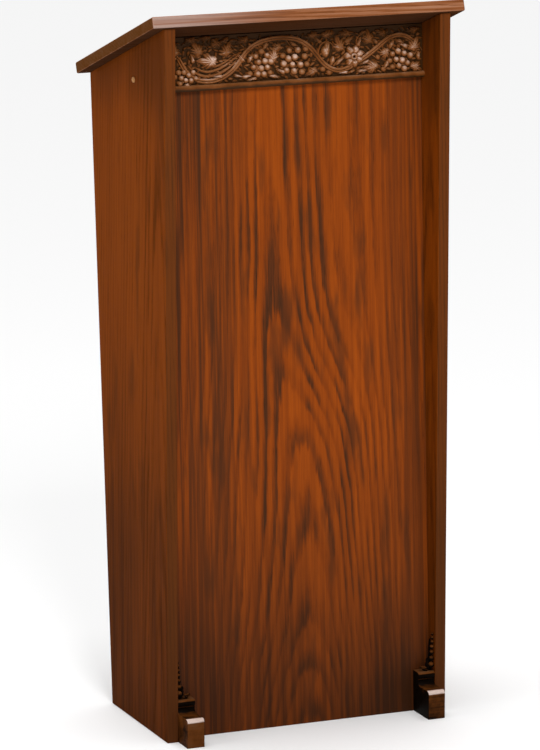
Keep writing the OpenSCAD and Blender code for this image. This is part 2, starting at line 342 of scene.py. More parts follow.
def oak(name, tones, grain, middle=0.0, arch=8.0, beside=62, crowd=40, round_top=0.028,
        waver=0.9, contrast=0.46, streaks=0.42, clouds=0.3, smudges=0.0, gloss=0.42, shine=0.03,
        edge_lines=0.5, drawn_arches=False, margins=None, foot=0.0, foot_full=0.0, foot_top=0.6,
        head=0.0, beneath=0.0, behind=None, front_edge=None, rubbed_and_highlight_end=None, end_tone=None):
    """Stained oak. tones are dark, middle and light. arch and beside are rings per
    metre up and across the board, and round_top is how broad the arches' tops are.
    margins is where the unshaded middle ends and where the painted shade at the edges is full.
    foot says how much darker the wood gets low down, head how dark the painted shadow under
    the desk is high up, and beneath how dark the painted shade on downward faces is."""
    mix = Recipe(name)
    place = mix.places(GRAIN[grain])
    x, y, z = mix.split(place)
    if drawn_arches:
        up = mix.times(z, 1 / PANEL_TALL)
        sway = [(h / PANEL_TALL, 0.5 + side / PANEL_SWAY) for h, side in SWAY_LINE]
        rings = [(h / PANEL_TALL, count / PANEL_RINGS) for h, count in RING_LINE]
        # Both fade out sideways, so that the lines at the edges stay upright
        inner = mix.fade(mix.math("ABSOLUTE", x), 0.03, 0.15, 1.0, 0.0)
        middle = mix.times(mix.around(mix.drawn(up, sway), PANEL_SWAY), inner)
        climb = mix.around(mix.drawn(up, rings), PANEL_RINGS)
        climb = mix.times(climb, mix.fade(mix.math("ABSOLUTE", x), 0.04, 0.24, 1.0, 0.35))
    else:
        climb = mix.times(z, arch)
    across = mix.math("SUBTRACT", x, middle)
    square = mix.times(across, across)
    ring = mix.total(
        mix.times(mix.math("SQRT", mix.math("ADD", square, round_top ** 2)), beside),
        -beside * round_top,
        mix.times(square, crowd),
        climb,
        mix.times(y, RINGS_THROUGH),
        mix.around(mix.noise(place, BOARD_WARP, 2.0), 0.8),
        mix.around(mix.noise(place, RING_WAVER, 2.0), waver),
        mix.around(mix.noise(place, RING_TREMBLE, 2.0), 0.42),
    )
    part = mix.math("FRACT", ring)
    rise = mix.fade(part, 0.0, 0.20)
    fall = mix.fade(part, 0.22, 0.74, 1.0, 0.0)
    strength = mix.fade(mix.noise(place, RING_PATCH, 2.0), 0.36, 0.60, 0.25, 1.0)
    off_arch = mix.math("ABSOLUTE", across)
    strength = mix.times(strength, mix.fade(off_arch, 0.05, 0.16, 1.0, edge_lines))
    band = mix.times(mix.times(rise, fall), strength)
    fibre = mix.noise(place, FIBRE, 3.0, 0.6)
    streak = mix.noise(place, STREAK, 3.0, 0.65)
    cloud = mix.noise(place, CLOUD, 3.0)
    pores = mix.fade(mix.noise(place, PORE, 1.0), 0.57, 0.70)
    tone = mix.total(
        PLAIN_TONE,
        mix.times(band, -contrast),
        mix.around(fibre, 0.40),
        mix.around(streak, streaks),
        mix.around(cloud, clouds),
    )
    dark, middle_tone, light = tones
    # Near black, used both for the stain caught in open pores and for the painted shade on
    # downward faces
    pore_black_and_under_shade = tuple(0.35 * v for v in dark)
    colour = mix.ramp(tone, (0.10, dark), (0.50, middle_tone), (0.88, light))
    filled = mix.times(pores, mix.fade(band, 0.0, 0.6, 0.25, 1.0))
    colour = mix.mix(mix.times(filled, 0.5), colour, pore_black_and_under_shade)
    if smudges:
        smudge = mix.fade(mix.noise(place, SMUDGE, 3.0), 0.53, 0.70)
        colour = mix.mix(mix.times(smudge, smudges), colour, dark)
    if margins:
        # Painted shade along the panel's edges beside the side boards, stronger higher up where
        # the panel stands deeper between them, and broken up by the streaks
        off_middle = mix.math("ABSOLUTE", mix.math("SUBTRACT", x, UNSHADED_MIDDLE))
        edge = mix.times(mix.fade(off_middle, *margins), mix.fade(z, 0.25, 0.60, 0.6, 1.25))
        edge_shade = mix.times(edge, mix.fade(streak, 0.36, 0.64, 0.85, 0.20))
        colour = mix.mix(edge_shade, colour, dark)
    if foot:
        low = mix.times(mix.fade(z, foot_full, foot_top, 1.0, 0.0), foot)
        low = mix.times(low, mix.fade(cloud, 0.3, 0.7, 1.15, 0.75))
        low = mix.times(low, mix.fade(streak, 0.38, 0.62, 1.10, 0.82))
        if margins:
            # Painted shade in both bottom corners beside the toes, blackest in the right one
            corner = mix.total(mix.fade(x, 0.02, 0.20), mix.fade(x, -0.20, -0.06, 0.55, 0.15))
            corner_shade = mix.times(corner, mix.fade(z, 0.03, 0.28, 0.32, 0.0))
            low = mix.times(low, mix.fade(x, -0.22, -0.08, 0.92, 1.0))
            low = mix.math("ADD", low, corner_shade, clamp=True)
        colour = mix.mix(low, colour, tuple(0.6 * v for v in dark))
    if head:
        # Painted shadow of the desk: near the top, the board's broad faces darken as if in the
        # shade under the desk's edge, broken up by clouds
        high = mix.times(mix.fade(z, 0.98, 1.10), mix.fade(cloud, 0.45, 0.70, head, 0.1 * head))
        high = mix.times(high, mix.fade(mix.math("ABSOLUTE", mix.facing(0)), 0.3, 0.7))
        colour = mix.mix(high, colour, dark)
    if behind:
        colour = mix.mix(mix.fade(mix.facing(1), 0.4, 0.9, 0.0, 0.6), colour, behind)
    if rubbed_and_highlight_end:
        # Paler towards one end of the desk's forward faces: partly wear from hands, partly a
        # painted highlight
        rubbed_and_highlight = mix.fade(streak, 0.35, 0.55, 0.4, 1.0)
        rubbed_and_highlight = mix.times(mix.fade(z, -0.26, 0.0, 0.75, 0.0), rubbed_and_highlight)
        rubbed_and_highlight = mix.times(rubbed_and_highlight, mix.fade(mix.facing(1), -0.8, -0.4, 1.0, 0.1))
        colour = mix.mix(rubbed_and_highlight, colour, rubbed_and_highlight_end)
    if front_edge:
        handled = mix.fade(mix.facing(1), -0.9, -0.5, 0.6, 0.0)
        colour = mix.mix(handled, colour, front_edge)
    # End grain drinks more stain
    ends = mix.fade(mix.math("ABSOLUTE", mix.facing(GRAIN_AXIS[grain])), 0.75, 0.97)
    colour = mix.mix(mix.times(ends, 0.85), colour, end_tone or tuple(0.7 * v for v in dark))
    # Painted shade: faces that point down are darkened towards near black, as if no light reached
    # under them
    if beneath:
        under = mix.fade(mix.facing(2), -0.9, -0.4, beneath, 0.0)
        colour = mix.mix(under, colour, pore_black_and_under_shade)
    mix.feed(mix.shader.inputs["Base Color"], colour)
    rough = mix.total(gloss, mix.times(band, 0.10), mix.times(filled, 0.15))
    mix.feed(mix.shader.inputs["Roughness"], rough)
    height = mix.total(mix.times(fibre, 0.3), mix.times(filled, -1.0), mix.times(band, -0.25))
    mix.feed(mix.shader.inputs["Normal"], mix.bump(height, 0.4 * MM, 0.5))
    mix.shader.inputs["Specular IOR Level"].default_value = shine
    return mix.material


print("oak recipe ready")

# %% [markdown]
# ### The stains
#
# The same oak takes the stain differently. The panel is orange and lively, the sides are
# a little browner, the desk is paler where hands have rubbed it and at one end of its front
# edge also carries a painted highlight, and inside the box the wood was only wiped over and
# never polished. Painted shade lies along the panel's edges, in its bottom corners and
# under the desk, and a painted shadow of the desk lies at the top of the sides.

# %% Stained boards
bare = ((0.085, 0.030, 0.009), (0.210, 0.084, 0.027), (0.310, 0.135, 0.050))
panel_oak = oak(
    "panel_oak",
    ((0.070, 0.023, 0.0080), (0.240, 0.0455, 0.0042), (0.400, 0.078, 0.0046)),
    "panel", round_top=0.046, beside=66, waver=0.55, contrast=0.48, edge_lines=0.50,
    streaks=0.6, smudges=0.65, shine=0.045, margins=(0.08, 0.22), foot=0.74, foot_top=0.55,
    behind=bare[1], drawn_arches=True,
)
side_oak = oak(
    "side_oak",
    ((0.088, 0.022, 0.0030), (0.194, 0.041, 0.0029), (0.256, 0.055, 0.0033)),
    "side", middle=0.12, arch=4.0, beside=70, contrast=0.38, streaks=0.7, clouds=0.6,
    smudges=0.55, head=0.7, gloss=0.5, shine=0.005, foot=0.74, foot_full=0.18, foot_top=0.75,
    front_edge=(0.085, 0.030, 0.011),
)
desk_oak = oak(
    "desk_oak",
    ((0.060, 0.017, 0.003), (0.235, 0.076, 0.025), (0.430, 0.220, 0.130)),
    "desk", middle=0.05, arch=5.0, contrast=0.34, streaks=0.75, clouds=0.5, gloss=0.34,
    beneath=0.86, rubbed_and_highlight_end=(0.38, 0.275, 0.24), end_tone=(0.100, 0.034, 0.006), shine=0.0,
)
shelf_oak = oak("shelf_oak", bare, "shelf", middle=0.03, gloss=0.6)
STRAIGHT = {"crowd": 0, "arch": 4.0, "gloss": 0.6}
rail_oak = oak("rail_oak", bare, "rail", middle=0.9, **STRAIGHT)
cleat_oak = oak("cleat_oak", bare, "cleat", middle=0.2, **STRAIGHT)
desk_cleat_oak = oak("desk_cleat_oak", bare, "desk_cleat", middle=0.2, **STRAIGHT)
block_oak = oak("block_oak", bare, "side", middle=0.2, **STRAIGHT)
print("stains:", [m.name for m in bpy.data.materials if m.name.endswith("_oak")])

# %% [markdown]
# ### Plain steel
#
# The screws are old bright steel gone dull, with brown spots in the turned-in corners.

# %% Dull steel
steel = Recipe("dull_steel")
steel_place = steel.places()
spots = steel.fade(steel.noise(steel_place, (700, 700, 700), 3.0), 0.50, 0.68)
steel.feed(
    steel.shader.inputs["Base Color"],
    steel.mix(spots, (0.36, 0.35, 0.33), (0.12, 0.06, 0.03)),
)
steel.feed(steel.shader.inputs["Roughness"], steel.fade(spots, 0.0, 1.0, 0.34, 0.75))
steel.shader.inputs["Metallic"].default_value = 1.0
print("steel ready")

# %% [markdown]
# ## Boards with eased edges
#
# A joiner takes the sharp arris off every board with a plane stroke or two, and that thin
# rounded edge is what catches the light. Each board is a cube whose eight corners are
# drawn out to the corners of its CAD node, and then bevelled. The CAD node itself could
# be shown, but its edges are knife sharp.

# %% Helpers for selecting, settling and easing
def pick(*pieces):
    """Selects only these pieces and makes the first one active."""
    deselect()
    for piece in pieces:
        piece.select_set(True)
    bpy.context.view_layer.objects.active = pieces[0]


def settle(piece):
    """Writes the object's place, turn and scale into its mesh."""
    pick(piece)
    bpy.ops.object.transform_apply(location=True, rotation=True, scale=True)
    return piece


def use(piece, kind, **settings):
    """Adds a modifier and applies it at once."""
    pick(piece)
    modifier = piece.modifiers.new(kind.lower(), kind)
    for name, value in settings.items():
        setattr(modifier, name, value)
    bpy.ops.object.modifier_apply(modifier=modifier.name)
    return piece


def smooth(piece, degrees):
    """Smooth shading that keeps edges sharper than this angle."""
    pick(piece)
    bpy.ops.object.shade_smooth_by_angle(angle=math.radians(degrees))
    return piece


def ease(piece, radius):
    """Rounds the sharp edges and keeps the flats flat."""
    return use(piece, "BEVEL", width=radius, segments=3, limit_method="ANGLE",
               angle_limit=math.radians(35), harden_normals=True)


def own_copy(piece):
    """A copy with a mesh of its own, linked to the scene."""
    copy = piece.copy()
    copy.data = piece.data.copy()
    scene.collection.objects.link(copy)
    return copy


def hand_over(piece, material, node):
    """Gives a finished piece its oak and puts it in the place of its CAD node."""
    piece.data.materials.clear()
    piece.data.materials.append(material)
    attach(piece, "root")
    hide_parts(node)


def corner(node, side):
    """The CAD node's own corner that lies furthest towards a side (three signs)."""
    points = [v.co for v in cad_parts[node].data.vertices]
    return max(points, key=lambda p: sum(a * b for a, b in zip(p, side))).copy()


def blank(node):
    """A plain cube drawn out to the eight corners of a CAD board."""
    deselect()
    bpy.ops.mesh.primitive_cube_add(size=2)
    piece = bpy.context.object
    piece.name = node + "_oak"
    for vertex in piece.data.vertices:
        vertex.co = corner(node, tuple(vertex.co))
    return piece


print("helpers ready")

# %% The panel, the desk and the open boards
BOARDS = {
    "front_panel": ("oak_panel", panel_oak, 1.0),
    "desk_board": ("oak_desk", desk_oak, 2.4),
    "shelf_board": ("oak_inside", shelf_oak, 1.2),
    "bottom_board": ("oak_inside", shelf_oak, 1.2),
    "rear_apron": ("oak_inside", rail_oak, 1.5),
    "rear_plinth": ("oak_inside", rail_oak, 1.5),
    "desk_bearer": ("oak_inside", rail_oak, 1.2),
}
for node, (slot, material, arris) in BOARDS.items():
    piece = ease(blank(node), arris * MM)
    hand_over(piece, material, node)
    print(piece.name, len(piece.data.polygons), "faces")

# %% [markdown]
# ## The side boards and their plugs
#
# Each side is screwed to the bearer under the desk, and a round plug hides the screw.
# The hole is a real one, cut with a cylinder, because a plug drawn on the surface
# would have no dark seam round it. The plug is a small turned button with a low dome,
# whose end grain shows as a paler dot.

# %% Side boards
PLUG_DEEP = 5.2 * MM
PLUG_SEAM = 0.15 * MM
plug_low, plug_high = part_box("side_plugs")
plug_middle = (plug_low + plug_high) / 2
plug_radius = (plug_high.z - plug_low.z) / 2
for side, node in ((-1, "side_board_left"), (1, "side_board_right")):
    piece = blank(node)
    deselect()
    bpy.ops.mesh.primitive_cylinder_add(
        vertices=40, radius=plug_radius + PLUG_SEAM, depth=2 * plug_high.x + 2 * MM,
        location=plug_middle, rotation=(0, QUARTER, 0),
    )
    drill = settle(bpy.context.object)
    for vertex in drill.data.vertices:
        if vertex.co.x * side < 0:
            vertex.co.x = side * (plug_high.x - PLUG_DEEP)
    use(piece, "BOOLEAN", object=drill, operation="DIFFERENCE", solver="EXACT")
    bpy.data.objects.remove(drill, do_unlink=True)
    ease(piece, 1.6 * MM)
    hand_over(piece, side_oak, node)
    print(piece.name, len(piece.data.polygons), "faces")

# %% Button plugs
PLUG_DOME = 3 * MM
PLUG_TAIL = 5 * MM
plug_oak = oak(
    "plug_oak", ((0.20, 0.08, 0.020), (0.42, 0.20, 0.075), (0.56, 0.30, 0.130)), "cleat",
    arch=300, gloss=0.5, end_tone=(0.42, 0.20, 0.075),
)
deselect()
bpy.ops.mesh.primitive_uv_sphere_add(segments=28, ring_count=14, radius=1)
button = bpy.context.object
button.name = "side_plugs_oak"
for vertex in button.data.vertices:
    vertex.co.x *= PLUG_DOME if vertex.co.x > 0 else PLUG_TAIL
    vertex.co.y *= plug_radius
    vertex.co.z *= plug_radius
button.data.transform(Matrix.Translation((plug_high.x, plug_middle.y, plug_middle.z)))
use(button, "MIRROR", use_axis=(True, False, False), use_mirror_merge=False)
smooth(button, 60)
hand_over(button, plug_oak, "side_plugs")
print("plugs", len(button.data.polygons), "faces")

# %% [markdown]
# ## The strips inside
#
# The cleats, rails and blocks behind the panel have screw holes, so a cube won't do.
# Here the CAD mesh is copied, its loose triangles are merged back into flat faces, and
# only the long straight edges are bevelled. The rims of the holes stay crisp.

# %% Eased copies of the drilled strips
LONG_EDGE = 12 * MM
TURNED_EDGE = 0.6
WELD = 0.01 * MM


def eased_copy(node, radius):
    """A strip's CAD mesh with whole faces again and its long edges rounded."""
    piece = own_copy(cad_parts[node])
    piece.name = node + "_oak"
    piece.hide_render = False
    shape = bmesh.new()
    shape.from_mesh(piece.data)
    bmesh.ops.remove_doubles(shape, verts=shape.verts, dist=WELD)
    bmesh.ops.dissolve_limit(
        shape, angle_limit=math.radians(1), verts=shape.verts, edges=shape.edges,
    )
    long_edges = [
        e for e in shape.edges
        if e.calc_length() > LONG_EDGE and e.is_manifold and e.calc_face_angle() > TURNED_EDGE
    ]
    bmesh.ops.bevel(
        shape, geom=long_edges, offset=radius, segments=2, profile=0.5, affect="EDGES",
    )
    shape.to_mesh(piece.data)
    shape.free()
    smooth(piece, 30)
    return piece


STRIPS = {
    "book_ledge": desk_oak,
    "desk_cleat_left": desk_cleat_oak,
    "desk_cleat_right": desk_cleat_oak,
    "head_rail": rail_oak,
    "shelf_cleat_left": cleat_oak,
    "shelf_cleat_right": cleat_oak,
    "bottom_cleat_left": cleat_oak,
    "bottom_cleat_right": cleat_oak,
    "glue_blocks_left": block_oak,
    "glue_blocks_right": block_oak,
}
for node, material in STRIPS.items():
    # The ledge is on show and handled, so it is rounder than the rest
    on_show = node == "book_ledge"
    piece = eased_copy(node, 2 * MM if on_show else 1 * MM)
    hand_over(piece, material, node)
    print(piece.name, len(piece.data.polygons), "faces")

# %% [markdown]
# ## The carved frieze
#
# A vine runs along the board in two waves, with bunches of grapes, lobed leaves and one
# round flower. A real carver sinks the ground and leaves the vine standing about nine
# millimetres proud. A displaced plane could copy that, but it has no undercut, so every
# form is its own solid, half sunk in the ground. The whole thing is laid out flat, with
# X along the board, Y up it and Z towards the eye, and is tipped into place at the end.

# %% Ground board and bead
frieze_low, frieze_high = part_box("carved_frieze")
FRIEZE_LONG = frieze_high.x - frieze_low.x
FRIEZE_TALL = 87.5 * MM
GROUND = 5.5 * MM
RELIEF = 14 * MM
BEAD = 5 * MM
carving = []


def in_edit(piece):
    """Enters edit mode on one piece, with everything selected."""
    pick(piece)
    bpy.ops.object.mode_set(mode="EDIT")
    bpy.ops.mesh.select_all(action="SELECT")


def out_of_edit():
    bpy.ops.object.mode_set(mode="OBJECT")


def flat_board(tall, thick):
    """A board as long as the frieze, with its foot on Y 0 and its back on Z 0."""
    deselect()
    bpy.ops.mesh.primitive_cube_add(size=1, location=(0, tall / 2, thick / 2))
    piece = bpy.context.object
    piece.scale = (FRIEZE_LONG, tall, thick)
    carving.append(settle(piece))


flat_board(FRIEZE_TALL, GROUND)
deselect()
bpy.ops.mesh.primitive_cylinder_add(
    vertices=20, radius=BEAD, depth=FRIEZE_LONG, location=(0, BEAD, RELIEF - BEAD),
    rotation=(0, QUARTER, 0),
)
carving.append(settle(bpy.context.object))
flat_board(2 * BEAD, RELIEF - BEAD)
print("ground", round(FRIEZE_LONG, 3), "by", FRIEZE_TALL)

# %% [markdown]
# ### The vine
#
# Each stem is a curve through listed points, thick in the middle and thin at the
# ends, rising and falling a little, and turned into a mesh. Two strands side by side leave
# the carver's groove along the middle of the stem.

# %% Stems
THIN_START = 0.6
THIN_END = 0.4
SWELL = 0.3
ROLLING = 0.8


def strand(name, points, radius, height, side=0.0):
    """A round stem through points in millimetres, moved sideways by side."""
    curve = bpy.data.curves.new(name, "CURVE")
    curve.dimensions = "3D"
    curve.bevel_depth = 1.0
    curve.bevel_resolution = 2
    curve.resolution_u = 5
    curve.use_fill_caps = True
    spline = curve.splines.new("NURBS")
    spline.points.add(len(points) - 1)
    spline.use_endpoint_u = True
    spline.order_u = 4
    last = len(points) - 1
    for i, point in enumerate(spline.points):
        before = Vector(points[max(i - 1, 0)])
        after = Vector(points[min(i + 1, last)])
        along = (after - before).normalized()
        here = Vector(points[i]) + Vector((-along.y, along.x)) * side
        lift = height + ROLLING * math.sin(i * 1.7)
        point.co = (here.x * MM, here.y * MM, lift * MM, 1)
        ends = min(1.0, THIN_START + i * SWELL, THIN_END + (last - i) * SWELL)
        point.radius = radius * ends * MM
    stem = bpy.data.objects.new(name, curve)
    scene.collection.objects.link(stem)
    pick(stem)
    bpy.ops.object.convert(target="MESH")
    carving.append(bpy.context.object)


VINE = [
    (-200, 54), (-194, 42), (-187, 30), (-175, 19), (-158, 14), (-139, 14), (-121, 19),
    (-107, 28), (-97, 39), (-89, 50), (-79, 61), (-65, 71), (-48, 76), (-28, 78), (-8, 77),
    (10, 73), (25, 64), (36, 53), (45, 41), (57, 27), (74, 18), (92, 19), (112, 29),
    (132, 41), (150, 53), (167, 66), (186, 73), (205, 68), (218, 56), (228, 42),
]
strand("vine_upper", VINE, 2.6, 7.8, side=2.0)
strand("vine_lower", VINE, 2.4, 7.3, side=-2.0)
# The first bowl is as wide as a hand of strands, which run together where it climbs
BOWL = {
    "bowl_outer": [
        (-184, 42), (-174, 29), (-158, 22), (-140, 22), (-122, 28), (-108, 37), (-96, 48),
    ],
    "bowl_middle": [(-172, 38), (-158, 29), (-141, 29), (-124, 35), (-110, 43), (-97, 53)],
    "bowl_inner": [(-146, 36), (-131, 37), (-116, 44), (-102, 54)],
}
SHOOTS = {
    "shoot_left": [(-206, 64), (-199, 52), (-190, 42), (-180, 34)],
    "shoot_bunch": [(-62, 72), (-60, 64), (-55, 56)],
    "shoot_crest": [(-14, 77), (-7, 66), (0, 58)],
    "shoot_curl": [(44, 40), (43, 54), (50, 66), (62, 68), (71, 62), (70, 54)],
    "shoot_flower": [(84, 18), (98, 22), (106, 32)],
    "shoot_right": [(150, 53), (158, 44), (170, 40)],
    "shoot_end": [(222, 48), (216, 36), (206, 30)],
}
TENDRILS = {
    "tendril_left": [(-180, 34), (-174, 52), (-166, 68), (-154, 74), (-147, 67), (-154, 61)],
    "tendril_middle": [(-94, 46), (-108, 58), (-112, 72), (-102, 80), (-92, 76), (-96, 69)],
    "tendril_right": [(118, 32), (108, 62), (116, 76), (129, 76), (131, 67), (124, 64)],
    "tendril_end": [(186, 73), (178, 62), (184, 54), (194, 56)],
}
# Radius and height of each kind of stem, in millimetres
for stems, radius, height in ((BOWL, 2.8, 6.6), (SHOOTS, 1.8, 7.6), (TENDRILS, 1.2, 7.2)):
    for name, points in stems.items():
        strand(name, points, radius, height)
print("stems", len(carving) - 3)

# %% [markdown]
# ### The leaves
#
# A leaf starts as a disc of triangles, subdivided so that it has points to move. Each
# point keeps its direction from the middle and is pushed out to the leaf's outline, and
# its height follows a dome with a valley along every vein. The rim is then extruded down
# into the ground, so that the leaf has thickness and a shadow under its edge.

# %% One leaf
def between(angle, axis):
    """The angle from an axis, wrapped to half a turn each way."""
    return (angle - axis + math.pi) % (2 * math.pi) - math.pi


VINE_LOBES = ((0, 1.0), (60, 0.84), (-60, 0.84), (120, 0.60), (-120, 0.60))
OVAL_LOBES = ((0, 1.0), (180, 0.35))
SPOKES = 60
# The half width of a vein in radians, then depths and heights in millimetres
VEIN_WIDE = 0.10
VEIN_DEEP = 1.3
RIPPLE = 0.7
ROOT = -2


def outline(angle, lobes, waist, teeth):
    """How far the leaf reaches in one direction, as a part of its length."""
    reach = waist
    for axis, far in lobes:
        gap = abs(between(angle, math.radians(axis)))
        swell = max(0.0, math.cos(min(gap * 2.6, QUARTER)))
        reach = max(reach, waist + (far - waist) * swell ** 0.8)
    tooth = abs((angle * teeth / math.pi) % 2 - 1)
    return reach * (0.94 + 0.10 * tooth)


def leaf(place, size, width, turn, height, lobes=VINE_LOBES, waist=0.46, teeth=15,
         base=GROUND, pieces=carving):
    """A carved leaf. place is its middle in millimetres, turn its tip's direction."""
    deselect()
    bpy.ops.mesh.primitive_circle_add(vertices=SPOKES, radius=1, fill_type="TRIFAN")
    piece = bpy.context.object
    in_edit(piece)
    bpy.ops.mesh.subdivide(number_cuts=3)
    out_of_edit()
    veins = [math.radians(lobe[0]) for lobe in lobes]
    phase = random.uniform(0, 6)
    for vertex in piece.data.vertices:
        part = min(1.0, vertex.co.xy.length)
        angle = math.atan2(vertex.co.y, vertex.co.x)
        reach = outline(angle, lobes, waist, teeth)
        gap = min(abs(between(angle, vein)) for vein in veins)
        valley = math.exp(-(gap / VEIN_WIDE) ** 2) * math.sin(part * math.pi) ** 0.5 if part else 0
        wave = math.sin(3 * angle + phase) * part
        dome = (1 - part ** 2.4) * 0.75 + 0.25
        vertex.co = (
            part * reach * math.cos(angle) * size,
            part * reach * math.sin(angle) * width,
            height * dome - VEIN_DEEP * valley + RIPPLE * wave,
        )
    in_edit(piece)
    bpy.ops.mesh.select_all(action="DESELECT")
    bpy.ops.mesh.select_mode(type="EDGE")
    bpy.ops.mesh.select_non_manifold()
    bpy.ops.mesh.extrude_region_move()
    bpy.ops.transform.resize(value=(0.94, 0.94, 1))
    out_of_edit()
    for vertex in piece.data.vertices:
        if vertex.select:
            vertex.co.z = ROOT
    in_edit(piece)
    bpy.ops.mesh.select_mode(type="VERT")
    bpy.ops.mesh.select_all(action="DESELECT")
    out_of_edit()
    piece.scale = (MM, MM, MM)
    piece.rotation_euler = (0, 0, math.radians(turn))
    piece.location = (place[0] * MM, place[1] * MM, base)
    pieces.append(settle(piece))


# The middle, half length, half width, turn in degrees and height of each leaf
LEAVES = [
    ((-144, 46), 25, 18, 175, 8.0), ((-166, 62), 20, 16, 115, 5.6), ((-207, 64), 20, 16, 140, 5.6),
    ((-118, 60), 20, 15, 60, 5.6), ((-136, 74), 17, 12, 10, 4.6), ((-36, 46), 20, 15, 75, 6.5),
    ((-26, 62), 15, 12, 200, 5.4), ((-84, 78), 16, 10, 200, 4.6), ((36, 20), 16, 12, 200, 6.0),
    ((82, 57), 20, 16, 110, 6.0), ((58, 78), 18, 10, 10, 4.4), ((96, 78), 16, 10, 170, 4.4),
    ((134, 66), 18, 14, 100, 5.0), ((142, 22), 21, 15, 190, 6.6), ((160, 76), 15, 10, 160, 4.4),
    ((213, 50), 19, 16, 60, 6.8), ((215, 18), 17, 13, 330, 6.6), ((164, 44), 16, 13, 250, 6.0),
    ((217, 78), 16, 9, 190, 4.4), ((-64, 30), 16, 9, 250, 5.4), ((34, 78), 18, 9, 0, 4.4),
    ((-180, 82), 18, 8, 0, 4.2), ((-150, 84), 16, 7, 180, 4.0),
]
for values in LEAVES:
    leaf(*values)
SMALL_LEAVES = [
    ((-155, 46), 13, 7, 60, 6.6), ((-176, 50), 11, 6, 100, 7.0), ((-84, 18), 14, 6, 10, 6.6),
    ((-70, 14), 12, 5, 190, 6.2), ((-36, 16), 14, 6, 350, 6.5), ((-20, 22), 12, 7, 150, 6.2),
    ((57, 51), 17, 13, 75, 7.8), ((69, 36), 12, 7, 250, 6.6), ((120, 16), 14, 5, 5, 6.2),
    ((165, 24), 12, 6, 240, 6.6), ((97, 66), 12, 7, 30, 5.0), ((198, 52), 12, 7, 150, 6.4),
    ((-130, 21), 13, 5, 175, 6.4), ((174, 55), 12, 6, 60, 5.8), ((-90, 46), 12, 7, 130, 6.0),
    ((-118, 80), 14, 6, 200, 4.4), ((-76, 46), 12, 6, 60, 6.4), ((46, 68), 12, 6, 140, 5.2),
    ((116, 60), 12, 6, 70, 5.4), ((124, 78), 12, 5, 20, 4.4), ((146, 62), 11, 6, 320, 5.2),
    ((-98, 20), 12, 5, 350, 6.0), ((80, 33), 13, 6, 40, 6.4), ((128, 30), 12, 5, 200, 6.2),
    ((-214, 44), 13, 8, 80, 6.0), ((222, 34), 11, 6, 90, 6.4), ((90, 15), 13, 5, 180, 6.0),
    ((0, 66), 12, 6, 330, 5.0), ((-48, 66), 12, 6, 230, 5.4), ((190, 60), 11, 6, 330, 5.4),
]
for values in SMALL_LEAVES:
    leaf(*values, OVAL_LOBES, 0.62, 0)
print("leaves", len(LEAVES) + len(SMALL_LEAVES))

# %% [markdown]
# ### Grapes
#
# A grape is one small ball, modelled once and copied. The balls of a bunch stand higher
# in its middle, which makes the bunch swell out of the board.

# %% Bunches
deselect()
bpy.ops.mesh.primitive_ico_sphere_add(subdivisions=3, radius=1)
grape = bpy.context.object
grape.name = "grape"
GRAPE_FLAT = 0.9
CROWN = 8.6
for vertex in grape.data.vertices:
    vertex.co.z *= GRAPE_FLAT


def bunch(middle, radius, grapes):
    """Copies of the grape at places in millimetres, highest near the middle."""
    middle = Vector(middle)
    for place in grapes:
        ball = own_copy(grape)
        size = radius * random.uniform(0.90, 1.08)
        away = (Vector(place) - middle).length
        height = CROWN - min(2.6, away * 0.09) + random.uniform(-0.5, 0.3)
        ball.scale = (size * MM, size * MM, size * MM)
        ball.location = (place[0] * MM, place[1] * MM, height * MM)
        carving.append(settle(ball))


bunch((-184, 22), 4.7, [
    (-191, 31), (-183, 26), (-175, 30), (-196, 22), (-188, 18), (-179, 17), (-171, 20),
    (-200, 31), (-198, 13), (-186, 9), (-207, 24),
])
bunch((-55, 38), 5.6, [
    (-66, 50), (-56, 57), (-46, 50), (-61, 40), (-50, 41), (-70, 32), (-57, 30), (-46, 31),
    (-63, 21), (-52, 20), (-76, 22), (-40, 40), (-41, 22),
])
bunch((4, 40), 6.0, [
    (-7, 56), (8, 56), (-18, 48), (20, 45), (2, 45), (-9, 43), (12, 32), (-2, 33), (-17, 35),
    (1, 22), (-12, 24), (15, 20), (24, 32), (22, 57), (30, 20), (52, 22), (63, 16),
])
bunch((186, 32), 5.4, [
    (186, 44), (176, 40), (197, 40), (182, 31), (193, 29), (171, 29), (203, 24), (187, 20),
    (176, 19), (197, 15), (160, 16), (150, 36), (208, 36),
])
bpy.data.objects.remove(grape, do_unlink=True)
print("carved pieces", len(carving))

# %% [markdown]
# ### Filling the ground
#
# A carver leaves no flat ground between the big forms, but fills it with small buds and
# leaf tips in low relief. They are one almond shape with few faces, copied over a loose
# grid. Each copy is turned roughly along the sweep of the vine, and chance does the rest.

# %% Buds
BUD_STEP = (9.0, 8.0)
STRAY = 0.3
deselect()
bpy.ops.mesh.primitive_uv_sphere_add(segments=8, ring_count=5, radius=1)
bud = bpy.context.object
settle(bud)
bud.data.transform(Matrix.Rotation(QUARTER, 4, "Y"))
columns = int(FRIEZE_LONG / MM / BUD_STEP[0])
rows = int((FRIEZE_TALL - 2 * BEAD) / MM / BUD_STEP[1])
for column in range(columns):
    for row in range(rows):
        along = (column + 0.5 + random.uniform(-STRAY, STRAY)) * BUD_STEP[0]
        along -= FRIEZE_LONG / MM / 2
        up = 2 * BEAD / MM + (row + 0.5 + random.uniform(-STRAY, STRAY)) * BUD_STEP[1]
        turn = math.radians(50 * math.sin(along / 35) + random.uniform(-50, 50))
        size = (random.uniform(4.2, 6.8), random.uniform(2.2, 3.4), random.uniform(2.4, 4.8))
        copy = own_copy(bud)
        copy.data.transform(
            Matrix.Translation((along * MM, up * MM, GROUND - 0.3 * MM))
            @ Matrix.Rotation(turn, 4, "Z")
            @ Matrix.Diagonal((size[0] * MM, size[1] * MM, size[2] * MM, 1))
        )
        carving.append(copy)
bpy.data.objects.remove(bud, do_unlink=True)
print("buds", columns * rows)

# %% [markdown]
# ### The flower
#
# Seven broad petals lean up round an eye that is sunk. The petals are small oval leaves,
# and the rim of the eye is a ring with nothing in it.

